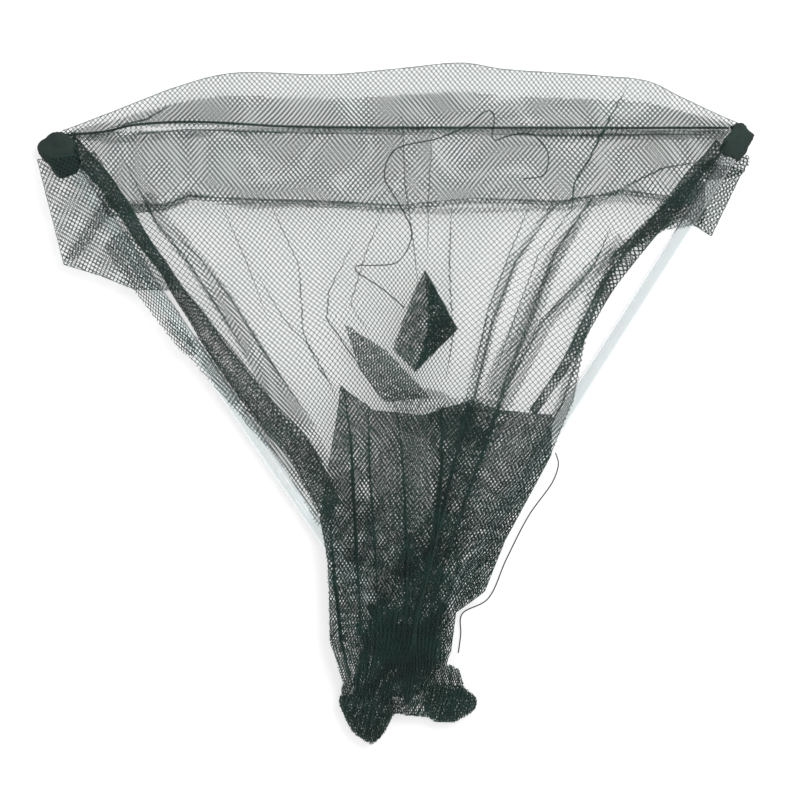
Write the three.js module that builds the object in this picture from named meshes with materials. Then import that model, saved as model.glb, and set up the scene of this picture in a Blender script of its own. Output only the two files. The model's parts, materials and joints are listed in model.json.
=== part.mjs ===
// A folding triangular net head, lying flat: two clear tube arms that hinge on a flat hub, a taut
// cord between the arm tips, and a deep knitted bag laid over the arms and past the hub.
// Millimetres, +Z up, the table at z = 0. The cord runs along X at the far end, the hub is at the near end.
import * as THREE from "three";

// Frame
const HUB_X = 9;
const HUB_Y = -199;
const PIVOT_SPACING = 27.4;
const ARM_LENGTH = 506;
const SPREAD_LEFT = THREE.MathUtils.degToRad(34.3);
const SPREAD_RIGHT = THREE.MathUtils.degToRad(32.5);
const TUBE_OUTER = 12;
const TUBE_INNER = 10;
const TUBE_SEGMENTS = 16;
const HUB_HEIGHT = 15;
const AXIS_Z = HUB_HEIGHT / 2;
const HEEL_THICK = 6.6;
const FIT_GAP = 0.3;
const RIVET_R = 2.5;
const SHOULDER_Y = 14;
const SPIGOT_LENGTH = 20;
const CAP_DEPTH = 20;
const CAP_OUTER = 15;
const EYELET_R = 2.9;
const EYELET_HOLE_R = 1.7;
const EYELET_OUT = 7.2;
const EYELET_ASIDE = 5;
const CORD_D = 3;
const KNOT_R = 3;
const STUD_D = 9.5;

// Netting, as layers over the table and over the arms
const NET_THICK = 1.2;
const TABLE_LAYER_Z = 0.4;
const FIRST_LAYER_Z = 16.4;
const SECOND_LAYER_Z = 18.6;
const THIRD_LAYER_Z = 20.6;
const ROLL_R = 7.8;
const BAG_THICK = 10;
const THREAD_D = 1;
const PATCH_THICK = 0.8;
const OVERHANG_THICK = 1.8;
const UNDER_ARM_Z = 0.2;
const UNDER_ARM_THICK = 1;
const FOOT_LEFT_THICK = 19;
const FOOT_RIGHT_THICK = 15;

const LEFT_PIVOT_X = HUB_X - PIVOT_SPACING / 2;
const RIGHT_PIVOT_X = HUB_X + PIVOT_SPACING / 2;

function finish(colour, roughness, metalness = 0, opacity = 1) {
  return new THREE.MeshStandardMaterial({
    color: colour,
    roughness,
    metalness,
    opacity,
    transparent: opacity < 1,
  });
}

const clearPlastic = finish(0xe4ecee, 0.12, 0, 0.35);
const darkPlastic = finish(0x1b2a26, 0.5);
const steel = finish(0x9fa4a8, 0.3, 1);
const netting = finish(0x24443a, 0.75);
const patchCloth = finish(0x1c3029, 0.9);
const twine = finish(0x16291f, 0.8);

const netHead = new THREE.Group();

function add(parent, name, geometry, material) {
  const mesh = new THREE.Mesh(geometry, material);
  mesh.name = name;
  parent.add(mesh);
  return mesh;
}

// An outline in the XY plane raised from lowZ by thick.
function raised(shape, lowZ, thick, curveSegments = 12) {
  const settings = { depth: thick, bevelEnabled: false, curveSegments };
  return new THREE.ExtrudeGeometry(shape, settings).translate(0, 0, lowZ);
}

function outline(points) {
  return new THREE.Shape(points.map(([x, y]) => new THREE.Vector2(x, y)));
}

function roundedRectangle(centreX, centreY, width, height, radius) {
  const [left, right] = [centreX - width / 2, centreX + width / 2];
  const [low, high] = [centreY - height / 2, centreY + height / 2];
  const shape = new THREE.Shape();
  shape.moveTo(left + radius, low);
  shape.lineTo(right - radius, low);
  shape.absarc(right - radius, low + radius, radius, -Math.PI / 2, 0);
  shape.lineTo(right, high - radius);
  shape.absarc(right - radius, high - radius, radius, 0, Math.PI / 2);
  shape.lineTo(left + radius, high);
  shape.absarc(left + radius, high - radius, radius, Math.PI / 2, Math.PI);
  shape.lineTo(left, low + radius);
  shape.absarc(left + radius, low + radius, radius, Math.PI, 1.5 * Math.PI);
  return shape;
}

function roundHole(shape, x, y, radius) {
  const hole = new THREE.Path();
  hole.absarc(x, y, radius, 0, 2 * Math.PI, true);
  shape.holes.push(hole);
}

// A solid round bar of even thickness through the points.
function barThrough(points, radius, sides, steps) {
  const places = points.map((p) => new THREE.Vector3(...p));
  const extrudePath = new THREE.CatmullRomCurve3(places, false, "centripetal");
  const corners = Array.from({ length: sides }, (_, i) => {
    const turn = (2 * Math.PI * i) / sides;
    return new THREE.Vector2(radius * Math.cos(turn), radius * Math.sin(turn));
  });
  const settings = { extrudePath, steps, bevelEnabled: false };
  return new THREE.ExtrudeGeometry(new THREE.Shape(corners), settings);
}

// Hub: two plates with a core between them behind the pivots, and a boss with a threaded stud.
const PLATE_THICK = (HUB_HEIGHT - HEEL_THICK) / 2 - FIT_GAP;
const PLATE_WIDTH = 49;
const PLATE_LENGTH = 37;
const PLATE_FRONT = 11;
const PLATE_CORNER_R = 8;
const CORE_WIDTH = 38;
const CORE_LENGTH = 14;
const CORE_BEHIND_PIVOTS = 17.5;
const CORE_CORNER_R = 3;
const PLATE_CENTRE_Y = HUB_Y + PLATE_FRONT - PLATE_LENGTH / 2;

function hubPlate() {
  const shape = roundedRectangle(HUB_X, PLATE_CENTRE_Y, PLATE_WIDTH, PLATE_LENGTH, PLATE_CORNER_R);
  roundHole(shape, LEFT_PIVOT_X, HUB_Y, RIVET_R + FIT_GAP);
  roundHole(shape, RIGHT_PIVOT_X, HUB_Y, RIVET_R + FIT_GAP);
  return shape;
}

// A rivet from just above the table to a domed head on top of the hub.
function rivet() {
  const foot = 0.2;
  const headLow = HUB_HEIGHT + FIT_GAP;
  const profile = [
    [0, foot],
    [RIVET_R, foot],
    [RIVET_R, headLow],
    [4.4, headLow],
    [4, headLow + 0.7],
    [2.4, headLow + 1.2],
    [0, headLow + 1.3],
  ].map(([r, z]) => new THREE.Vector2(r, z));
  return new THREE.LatheGeometry(profile, 20).rotateX(Math.PI / 2);
}

// A boss, then the stud with its ridges. A groove round the stud's root keeps the seat clear of them.
const BOSS_LENGTH = 8;
const BOSS_R = HUB_HEIGHT / 2 - 0.2;
const GROOVE_DEPTH = 1;
const THREAD_TURNS = 9;
const THREAD_PITCH = 2.4;

function handleStud() {
  const crest = STUD_D / 2;
  const root = crest - 0.7;
  const seatInner = crest + 0.25;
  const end = BOSS_LENGTH + 2 + THREAD_TURNS * THREAD_PITCH;
  const profile = [
    [0, 0],
    [BOSS_R, 0],
    [BOSS_R, BOSS_LENGTH],
    [seatInner, BOSS_LENGTH],
    [seatInner, BOSS_LENGTH - GROOVE_DEPTH],
    [root, BOSS_LENGTH - GROOVE_DEPTH],
  ];
  for (let turn = 0; turn < THREAD_TURNS; turn += 1) {
    const start = BOSS_LENGTH + 1 + turn * THREAD_PITCH;
    profile.push([root, start]);
    profile.push([crest, start + 0.8]);
    profile.push([crest, start + 1.2]);
    profile.push([root, start + 2]);
  }
  profile.push([crest - 1.4, end]);
  profile.push([0, end]);
  const points = profile.map(([r, y]) => new THREE.Vector2(r, y));
  return new THREE.LatheGeometry(points, 24).rotateZ(Math.PI);
}

function buildHub() {
  const upperLow = HUB_HEIGHT - PLATE_THICK;
  const coreLow = (HUB_HEIGHT - HEEL_THICK) / 2;
  const plateBack = PLATE_CENTRE_Y - PLATE_LENGTH / 2;
  const coreY = HUB_Y - CORE_BEHIND_PIVOTS;
  const core = roundedRectangle(HUB_X, coreY, CORE_WIDTH, CORE_LENGTH, CORE_CORNER_R);
  add(netHead, "hub_bottom_plate", raised(hubPlate(), 0, PLATE_THICK), darkPlastic);
  add(netHead, "hub_top_plate", raised(hubPlate(), upperLow, PLATE_THICK), darkPlastic);
  add(netHead, "hub_core", raised(core, coreLow, HEEL_THICK), darkPlastic);
  add(netHead, "pivot_rivet_left", rivet(), steel).position.set(LEFT_PIVOT_X, HUB_Y, 0);
  add(netHead, "pivot_rivet_right", rivet(), steel).position.set(RIGHT_PIVOT_X, HUB_Y, 0);
  add(netHead, "handle_stud", handleStud(), steel).position.set(HUB_X, plateBack - FIT_GAP, AXIS_Z);
}

// Arm, in its own frame: the pivot at the origin and the tube along +Y.
function heel() {
  const eye = 8;
  const neck = 5.7;
  const spigot = 3.3;
  const join = Math.sqrt(eye * eye - neck * neck);
  const shape = new THREE.Shape();
  shape.moveTo(neck, join);
  shape.lineTo(neck, SHOULDER_Y);
  shape.lineTo(spigot, SHOULDER_Y);
  shape.lineTo(spigot, SHOULDER_Y + SPIGOT_LENGTH);
  shape.lineTo(-spigot, SHOULDER_Y + SPIGOT_LENGTH);
  shape.lineTo(-spigot, SHOULDER_Y);
  shape.lineTo(-neck, SHOULDER_Y);
  shape.lineTo(-neck, join);
  const turn = Math.atan2(join, neck);
  shape.absarc(0, 0, eye, Math.PI - turn, 2 * Math.PI + turn);
  roundHole(shape, 0, 0, RIVET_R + FIT_GAP);
  return raised(shape, AXIS_Z - HEEL_THICK / 2, HEEL_THICK);
}

function armTube() {
  const start = SHOULDER_Y + FIT_GAP;
  const ring = new THREE.Shape();
  ring.absarc(0, 0, TUBE_OUTER / 2, 0, 2 * Math.PI);
  roundHole(ring, 0, 0, TUBE_INNER / 2);
  const tube = raised(ring, 0, ARM_LENGTH - start, TUBE_SEGMENTS);
  return tube.rotateX(-Math.PI / 2).translate(0, start, AXIS_Z);
}

function tipCap() {
  const inner = TUBE_OUTER / 2 + FIT_GAP;
  const outer = CAP_OUTER / 2;
  const seat = ARM_LENGTH + FIT_GAP;
  const profile = [
    [0, seat],
    [inner, seat],
    [inner, ARM_LENGTH - CAP_DEPTH],
    [outer, ARM_LENGTH - CAP_DEPTH],
    [outer, seat + 2],
    [outer - 1, seat + 3],
    [0, seat + 3],
  ].map(([r, y]) => new THREE.Vector2(r, y));
  return new THREE.LatheGeometry(profile, 24).translate(0, 0, AXIS_Z);
}

// A flat ring on a short stem at the outer side of the cap's end.
function tipEyelet(side) {
  const stemHalf = 1.3;
  const low = ARM_LENGTH + 2 * FIT_GAP + 3;
  const [x, y] = [side * EYELET_ASIDE, ARM_LENGTH + EYELET_OUT];
  const meet = Math.asin(stemHalf / EYELET_R);
  const shape = new THREE.Shape();
  shape.moveTo(x - stemHalf, low);
  shape.lineTo(x + stemHalf, low);
  shape.absarc(x, y, EYELET_R, -Math.PI / 2 + meet, 1.5 * Math.PI - meet);
  roundHole(shape, x, y, EYELET_HOLE_R);
  return raised(shape, AXIS_Z - 1, 2, 10);
}

// side is -1 for the arm at -X and 1 for the arm at +X.
function buildArm(side, word, pivotX, spread) {
  const arm = new THREE.Group();
  arm.position.set(pivotX, HUB_Y, 0);
  arm.rotation.z = -side * spread;
  netHead.add(arm);
  add(arm, `arm_heel_${word}`, heel(), darkPlastic);
  add(arm, `arm_tube_${word}`, armTube(), clearPlastic);
  add(arm, `tip_cap_${word}`, tipCap(), darkPlastic);
  add(arm, `tip_eyelet_${word}`, tipEyelet(side), steel);
  return arm;
}

// A cloth patch that closes the net's corner over the cap.
const PATCH_BACK = 8;

function buildPatch(arm, word, centreX, width, length, radius) {
  const shape = roundedRectangle(centreX, ARM_LENGTH - PATCH_BACK, width, length, radius);
  add(arm, `corner_patch_${word}`, raised(shape, HUB_HEIGHT + FIT_GAP, PATCH_THICK), patchCloth);
}

// Front cord, knotted at each end just inside the caps.
const CORD_POINTS = [
  [-279, 229, AXIS_Z],
  [-248, 232, AXIS_Z],
  [-227, 237, AXIS_Z],
  [-177, 240, AXIS_Z],
  [-89, 236, AXIS_Z],
  [104, 235, AXIS_Z],
  [282.3, 234.9, AXIS_Z],
];

function buildCord() {
  add(netHead, "front_cord", barThrough(CORD_POINTS, CORD_D / 2, 10, 60), twine);
  const knot = () => new THREE.SphereGeometry(KNOT_R, 16, 10);
  add(netHead, "cord_knot_left", knot(), twine).position.set(-282.3, 227.9, AXIS_Z);
  add(netHead, "cord_knot_right", knot(), twine).position.set(285.7, 234.7, AXIS_Z);
}

// Netting between the arms and beyond the cord, each layer a flat slab of the true outline.
const OVERHANG = [
  [-266, 241],
  [-240, 251],
  [-190, 270],
  [-143, 282],
  [-57, 281],
  [0, 286],
  [57, 291],
  [87, 286],
  [172, 280],
  [215, 275],
  [240, 263],
  [277, 244],
  [277, 236],
  [138, 240],
  [-88, 242],
  [-258, 237],
];
const COLLAR = [
  [-262, 225],
  [-87, 233],
  [138, 230],
  [279, 224],
  [271, 203],
  [249, 169],
  [189, 175],
  [138, 166],
  [62, 169],
  [2, 163],
  [-57, 166],
  [-126, 168],
  [-177, 171],
  [-198, 163],
  [-236, 163],
];
const MAIN_PANEL = [
  [-229, 158],
  [-126, 163],
  [2, 158],
  [138, 161],
  [189, 170],
  [240, 165],
  [206, 139],
  [177, 97],
  [162, 54],
  [151, 3],
  [130, -44],
  [91, -116],
  [62, -167],
  [-45, -133],
  [-83, -44],
  [-126, 16],
  [-177, 80],
];
const LOWER_BAG = [
  [-49, 16],
  [-19, -6],
  [19, -10],
  [62, 3],
  [87, -6],
  [131, -10],
  [130, -44],
  [91, -116],
  [74, -159],
  [51, -177],
  [46, -210],
  [36, -235],
  [-45, -244],
  [-59, -201],
  [-62, -133],
  [-66, -99],
];
const FOOT_LEFT = [
  [-53, -247],
  [-40, -278],
  [-22, -291],
  [-11, -280],
  [-3, -263],
  [-3, -247],
];
const FOOT_RIGHT = [
  [23, -239],
  [23, -264],
  [32, -271],
  [49, -271],
  [66, -261],
  [68, -251],
  [53, -239],
];
const CENTRE_FLAP = [
  [23, 114],
  [51, 63],
  [15, 27],
  [-4, 46],
  [11, 88],
];
const SIDE_FLAP = [
  [-45, 67],
  [-11, 46],
  [28, 5],
  [-11, 1],
  [-32, 29],
];

function buildNetting() {
  const slab = (name, points, lowZ, thick) => {
    add(netHead, name, raised(outline(points), lowZ, thick), netting);
  };
  slab("front_overhang", OVERHANG, TABLE_LAYER_Z, OVERHANG_THICK);
  slab("main_panel", MAIN_PANEL, FIRST_LAYER_Z, NET_THICK);
  slab("collar_band", COLLAR, SECOND_LAYER_Z, NET_THICK);
  slab("side_flap", SIDE_FLAP, SECOND_LAYER_Z, NET_THICK);
  slab("centre_flap", CENTRE_FLAP, THIRD_LAYER_Z, NET_THICK);
  slab("lower_bag", LOWER_BAG, SECOND_LAYER_Z, BAG_THICK);
  slab("bag_foot_left", FOOT_LEFT, TABLE_LAYER_Z, FOOT_LEFT_THICK);
  slab("bag_foot_right", FOOT_RIGHT, TABLE_LAYER_Z, FOOT_RIGHT_THICK);
}

// Netting that goes with an arm: the gathered roll beside the tube, and the wing outside it. The
// left wing lies over its arm, and the right wing runs under its arm.
const ROLL_Z = TABLE_LAYER_Z + ROLL_R;
const ROLL_LEFT = [
  [-257, 199, ROLL_Z],
  [-234, 165, ROLL_Z],
  [-211, 131, ROLL_Z],
  [-179, 84, ROLL_Z],
  [-126, 10, ROLL_Z],
  [-76, -50, ROLL_Z],
  [-53, -99, ROLL_Z],
];
const ROLL_RIGHT = [
  [257, 200, ROLL_Z],
  [237, 170, ROLL_Z],
  [208, 139, ROLL_Z],
  [172, 88, ROLL_Z],
  [143, 33, ROLL_Z],
  [110, -14, ROLL_Z],
];
const WING_LEFT = [
  [-305.6, 207],
  [-283, 118],
  [-253, 109],
  [-223, 97],
  [-202, 86],
  [-236, 146],
  [-272, 203],
];
const WING_RIGHT = [
  [295, 199],
  [268, 143],
  [257, 151],
  [228, 131],
  [194, 115],
  [223, 143],
  [262, 182],
  [276, 199],
];

function buildArmNetting() {
  const overArm = raised(outline(WING_LEFT), FIRST_LAYER_Z, NET_THICK);
  const underArm = raised(outline(WING_RIGHT), UNDER_ARM_Z, UNDER_ARM_THICK);
  add(netHead, "side_roll_left", barThrough(ROLL_LEFT, ROLL_R, 12, 24), netting);
  add(netHead, "side_roll_right", barThrough(ROLL_RIGHT, ROLL_R, 12, 24), netting);
  add(netHead, "wing_left", overArm, netting);
  add(netHead, "wing_right", underArm, netting);
}

// Loose ends of twine: one lies over the netting, one hangs off the bag's side on to the table.
const THREAD_Z = 22.8;
const LONG_THREAD = [
  [6, 81, THREAD_Z],
  [-14, 98, THREAD_Z],
  [-34, 111, THREAD_Z],
  [-35.8, 113, THREAD_Z],
  [-35.8, 115, THREAD_Z],
  [-34.4, 116.6, THREAD_Z],
  [-31.6, 117, THREAD_Z],
  [-20, 117, THREAD_Z],
  [0, 120, THREAD_Z],
  [12, 143, THREAD_Z],
  [2, 168, THREAD_Z],
  [-11, 192, THREAD_Z],
  [-3, 214, THREAD_Z],
  [36, 225, THREAD_Z],
  [62, 237, THREAD_Z],
  [73, 246.5, THREAD_Z],
  [77.5, 248, THREAD_Z],
  [81, 245.6, THREAD_Z],
  [82, 240, THREAD_Z],
  [80, 227, THREAD_Z],
  [81, 224, THREAD_Z],
  [84, 223, THREAD_Z],
  [92, 226, THREAD_Z],
  [113, 228, THREAD_Z],
  [127, 213, THREAD_Z],
  [124, 194, THREAD_Z],
  [106, 190, THREAD_Z],
];
const SHORT_THREAD = [
  [134, -42, 21],
  [137, -52, 8],
  [133, -66, 1.4],
  [112, -96, 1.4],
  [93, -133, 1.4],
  [77, -167, 1.4],
  [55, -180, 1.4],
  [54, -197, 1.4],
  [52, -213, 1.4],
];

function buildThreads() {
  add(netHead, "loose_thread_long", barThrough(LONG_THREAD, THREAD_D / 2, 8, 80), twine);
  add(netHead, "loose_thread_short", barThrough(SHORT_THREAD, THREAD_D / 2, 8, 60), twine);
}

buildHub();
const leftArm = buildArm(-1, "left", LEFT_PIVOT_X, SPREAD_LEFT);
const rightArm = buildArm(1, "right", RIGHT_PIVOT_X, SPREAD_RIGHT);
buildPatch(leftArm, "left", -1, 28, 30, 10);
buildPatch(rightArm, "right", -2, 21, 24, 2);
buildCord();
buildNetting();
buildArmNetting();
buildThreads();

export default netHead;
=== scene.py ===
# A folding triangular net head lying on a pale table, seen from straight above.
# Metres, +Z up, the cord between the arm tips along X at +Y, the hub at -Y.
import json
import math

import bpy
import numpy as np
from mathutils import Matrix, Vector


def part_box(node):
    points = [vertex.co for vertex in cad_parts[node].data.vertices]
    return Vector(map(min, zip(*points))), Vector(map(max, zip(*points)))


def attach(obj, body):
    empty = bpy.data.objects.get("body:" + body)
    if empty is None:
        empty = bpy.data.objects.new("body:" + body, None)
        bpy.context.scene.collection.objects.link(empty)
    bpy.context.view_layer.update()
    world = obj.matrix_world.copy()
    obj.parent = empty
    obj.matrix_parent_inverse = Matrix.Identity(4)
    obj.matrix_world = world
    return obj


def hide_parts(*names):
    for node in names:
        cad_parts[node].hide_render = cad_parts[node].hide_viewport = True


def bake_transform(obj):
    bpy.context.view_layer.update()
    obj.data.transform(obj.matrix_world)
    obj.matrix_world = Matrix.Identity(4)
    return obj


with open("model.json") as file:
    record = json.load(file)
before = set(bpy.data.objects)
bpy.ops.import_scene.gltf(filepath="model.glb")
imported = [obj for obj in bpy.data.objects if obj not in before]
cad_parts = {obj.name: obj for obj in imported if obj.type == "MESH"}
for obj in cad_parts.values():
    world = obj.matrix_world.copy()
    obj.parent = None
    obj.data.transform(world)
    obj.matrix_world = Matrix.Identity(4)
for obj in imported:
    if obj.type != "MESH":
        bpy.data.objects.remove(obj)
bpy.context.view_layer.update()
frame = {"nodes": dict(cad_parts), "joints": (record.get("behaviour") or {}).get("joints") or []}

MM = 0.001
NODES = frame["nodes"]
JOINTS = {j["name"]: j for j in frame["joints"]}


# ---------------------------------------------------------------- frame facts
def middle(node):
    low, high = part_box(node)
    return (low + high) / 2


def corners_of(node):
    mesh = NODES[node].data
    flat = np.empty(len(mesh.vertices) * 3)
    mesh.vertices.foreach_get("co", flat)
    return flat.reshape(-1, 3)


def outline_of(node):
    """The CAD slab's outline in the XY plane, in order round it."""
    mesh = NODES[node].data
    places = corners_of(node)
    top = places[:, 2].max() - 1e-5
    keys = [tuple(np.round(p[:2], 6)) for p in places]
    count = {}
    for face in mesh.polygons:
        ids = list(face.vertices)
        if all(places[i][2] > top for i in ids):
            for a, b in zip(ids, ids[1:] + ids[:1]):
                edge = frozenset((keys[a], keys[b]))
                count[edge] = count.get(edge, 0) + 1
    rim = [tuple(edge) for edge, times in count.items() if times == 1]
    following = {}
    for a, b in rim:
        following.setdefault(a, []).append(b)
        following.setdefault(b, []).append(a)
    start = min(following)
    loop, before = [start], None
    while True:
        options = [p for p in following[loop[-1]] if p != before]
        before = loop[-1]
        if options[0] == start or len(loop) > len(following):
            break
        loop.append(options[0])
    return np.array(loop)


def spine_of(node, count):
    """The middle line of a bar that runs mostly along Y, from its far end to its near end."""
    places = corners_of(node)
    places = places[np.argsort(-places[:, 1])]
    return np.array([part.mean(0) for part in np.array_split(places, count)])


HUB = Vector((middle("hub_core").x, JOINTS["left_arm_fold"]["pos_m"][1], 0))
PIVOT = {
    "left": Vector(JOINTS["left_arm_fold"]["pos_m"]),
    "right": Vector(JOINTS["right_arm_fold"]["pos_m"]),
}
SIGN = {"left": -1, "right": 1}
TIP = {side: middle(f"tip_cap_{side}") for side in SIGN}
ARM_DIRECTION = {side: (TIP[side] - PIVOT[side]).normalized() for side in SIGN}


# ---------------------------------------------------------------- materials
def new_material(name):
    material = bpy.data.materials.new(name)
    material.use_nodes = True
    tree = material.node_tree
    return material, tree, tree.nodes["Principled BSDF"]


def noise(tree, scale, detail=3.0, stretch=(1, 1, 1)):
    place = tree.nodes.new("ShaderNodeTexCoord")
    mapping = tree.nodes.new("ShaderNodeMapping")
    mapping.inputs["Scale"].default_value = stretch
    node = tree.nodes.new("ShaderNodeTexNoise")
    node.inputs["Scale"].default_value = scale
    node.inputs["Detail"].default_value = detail
    tree.links.new(place.outputs["Object"], mapping.inputs["Vector"])
    tree.links.new(mapping.outputs["Vector"], node.inputs["Vector"])
    return node.outputs["Fac"]


def ramp(tree, factor, stops):
    node = tree.nodes.new("ShaderNodeValToRGB")
    elements = node.color_ramp.elements
    while len(elements) < len(stops):
        elements.new(0.5)
    for element, (position, colour) in zip(elements, stops):
        element.position = position
        element.color = (*colour, 1)
    tree.links.new(factor, node.inputs["Fac"])
    return node.outputs["Color"]


def spread(tree, factor, low, high):
    node = tree.nodes.new("ShaderNodeMapRange")
    node.inputs["From Min"].default_value = 0.3
    node.inputs["From Max"].default_value = 0.7
    node.inputs["To Min"].default_value = low
    node.inputs["To Max"].default_value = high
    tree.links.new(factor, node.inputs["Value"])
    return node.outputs["Result"]


def bump(tree, shader, height, strength, distance):
    node = tree.nodes.new("ShaderNodeBump")
    node.inputs["Strength"].default_value = strength
    node.inputs["Distance"].default_value = distance
    tree.links.new(height, node.inputs["Height"])
    tree.links.new(node.outputs["Normal"], shader.inputs["Normal"])


def twine_material(name, dark, light, roughness):
    material, tree, shader = new_material(name)
    patches = noise(tree, 38, 2)
    colour = ramp(tree, patches, [(0.34, dark), (0.66, light)])
    tree.links.new(colour, shader.inputs["Base Color"])
    fibres = noise(tree, 2600, 2)
    tree.links.new(spread(tree, fibres, roughness - 0.1, roughness + 0.1), shader.inputs["Roughness"])
    bump(tree, shader, fibres, 0.4, 0.0001)
    shader.inputs["Sheen Weight"].default_value = 0.12
    shader.inputs["Specular IOR Level"].default_value = 0.35
    return material


def cloth_material():
    material, tree, shader = new_material("woven_patch_cloth")
    place = tree.nodes.new("ShaderNodeTexCoord")
    waves = []
    for direction in ("X", "Y"):
        wave = tree.nodes.new("ShaderNodeTexWave")
        wave.bands_direction = direction
        wave.inputs["Scale"].default_value = 330
        wave.inputs["Distortion"].default_value = 0.6
        tree.links.new(place.outputs["Object"], wave.inputs["Vector"])
        waves.append(wave.outputs["Fac"])
    weave = tree.nodes.new("ShaderNodeMath")
    weave.operation = "MAXIMUM"
    tree.links.new(waves[0], weave.inputs[0])
    tree.links.new(waves[1], weave.inputs[1])
    worn = noise(tree, 90, 4)
    mixed = tree.nodes.new("ShaderNodeMath")
    mixed.operation = "MULTIPLY"
    tree.links.new(weave.outputs[0], mixed.inputs[0])
    tree.links.new(worn, mixed.inputs[1])
    stops = [(0.1, (0.005, 0.013, 0.011)), (0.6, (0.032, 0.058, 0.05))]
    tree.links.new(ramp(tree, mixed.outputs[0], stops), shader.inputs["Base Color"])
    tree.links.new(spread(tree, worn, 0.8, 0.95), shader.inputs["Roughness"])
    bump(tree, shader, weave.outputs[0], 0.6, 0.0002)
    return material


def moulded_material():
    material, tree, shader = new_material("moulded_dark_plastic")
    grain = noise(tree, 1400, 2)
    scuffs = noise(tree, 110, 5)
    stops = [(0.35, (0.01, 0.026, 0.021)), (0.7, (0.02, 0.044, 0.036))]
    tree.links.new(ramp(tree, scuffs, stops), shader.inputs["Base Color"])
    tree.links.new(spread(tree, scuffs, 0.38, 0.55), shader.inputs["Roughness"])
    bump(tree, shader, grain, 0.25, 0.0001)
    return material


def steel_material():
    material, tree, shader = new_material("zinc_plated_steel")
    shader.inputs["Metallic"].default_value = 1.0
    brushed = noise(tree, 420, 4, (1, 1, 6))
    stops = [(0.3, (0.42, 0.43, 0.45)), (0.7, (0.62, 0.63, 0.64))]
    tree.links.new(ramp(tree, brushed, stops), shader.inputs["Base Color"])
    tree.links.new(spread(tree, brushed, 0.22, 0.4), shader.inputs["Roughness"])
    return material


def clear_material():
    material, tree, shader = new_material("clear_plastic_tube")
    shader.inputs["Base Color"].default_value = (0.95, 0.98, 0.985, 1)
    shader.inputs["Transmission Weight"].default_value = 1.0
    shader.inputs["IOR"].default_value = 1.47
    scratches = noise(tree, 500, 3, (1, 1, 1))
    tree.links.new(spread(tree, scratches, 0.02, 0.07), shader.inputs["Roughness"])
    return material


def floor_material():
    material, _, shader = new_material("pale_table")
    shader.inputs["Base Color"].default_value = (0.6, 0.597, 0.597, 1)
    shader.inputs["Roughness"].default_value = 0.9
    shader.inputs["Specular IOR Level"].default_value = 0.1
    shader.inputs["Emission Color"].default_value = (1.0, 1.0, 1.0, 1)
    shader.inputs["Emission Strength"].default_value = 0.6
    return material


NET = twine_material("knitted_net_twine", (0.006, 0.036, 0.028), (0.014, 0.078, 0.06), 0.6)
TWINE = twine_material("dark_laid_twine", (0.004, 0.014, 0.011), (0.009, 0.028, 0.022), 0.7)
CLOTH = cloth_material()
PLASTIC = moulded_material()
STEEL = steel_material()
CLEAR = clear_material()


# ---------------------------------------------------------------- mesh making
def unit(vectors):
    return vectors / np.linalg.norm(vectors, axis=-1)[..., None]


def interpolated(at, known, route):
    """The places along a route at these distances."""
    return np.stack([np.interp(at, known, route[:, i]) for i in range(3)], axis=-1)


def distances(route):
    """How far along a route each of its points is."""
    return np.concatenate([[0], np.cumsum(np.linalg.norm(np.diff(route, axis=0), axis=1))])


def stands_for(obj, node, body=None):
    """The piece hides the CAD node it stands in for, and may ride on a body."""
    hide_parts(node)
    if body:
        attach(obj, body)


def mesh_object(name, places, faces, material, smooth=True):
    """places is (n, 3) and faces is (m, 3) or (m, 4)."""
    mesh = bpy.data.meshes.new(name)
    count, corners = faces.shape
    mesh.vertices.add(len(places))
    mesh.vertices.foreach_set("co", np.ascontiguousarray(places, np.float32).ravel())
    mesh.loops.add(count * corners)
    mesh.loops.foreach_set("vertex_index", np.ascontiguousarray(faces, np.int32).ravel())
    mesh.polygons.add(count)
    mesh.polygons.foreach_set("loop_start", np.arange(0, count * corners, corners, dtype=np.int32))
    mesh.polygons.foreach_set("use_smooth", np.full(count, smooth))
    mesh.update(calc_edges=True)
    layer = mesh.uv_layers.new(name="OFBake")
    low, high = places[:, :2].min(0), places[:, :2].max(0)
    flat = (places[:, :2] - low) / (high - low).max()
    layer.data.foreach_set("uv", flat[faces.ravel()].astype(np.float32).ravel())
    mesh.materials.append(material)
    obj = bpy.data.objects.new(name, mesh)
    bpy.context.scene.collection.objects.link(obj)
    return obj


def smooth_route(points, step):
    """A centripetal Catmull-Rom curve through the points, sampled about every step."""
    points = np.array(points, float)
    first = 2 * points[0] - points[1]
    last = 2 * points[-1] - points[-2]
    padded = np.vstack([first, points, last])
    out = []
    for i in range(1, len(padded) - 2):
        p0, p1, p2, p3 = padded[i - 1 : i + 3]
        knots = [0.0]
        for a, b in ((p0, p1), (p1, p2), (p2, p3)):
            knots.append(knots[-1] + math.sqrt(np.linalg.norm(b - a)))

        def between(a, b, i, j, t):
            return a + (b - a) * (t - knots[i]) / (knots[j] - knots[i])

        count = max(2, int(np.linalg.norm(p2 - p1) / step))
        for t in np.linspace(knots[1], knots[2], count, endpoint=False):
            middle_part = between(p1, p2, 1, 2, t)
            first_half = between(between(p0, p1, 0, 1, t), middle_part, 0, 2, t)
            second_half = between(middle_part, between(p2, p3, 2, 3, t), 1, 3, t)
            out.append(between(first_half, second_half, 1, 2, t))
    out.append(points[-1])
    return np.array(out)


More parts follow.
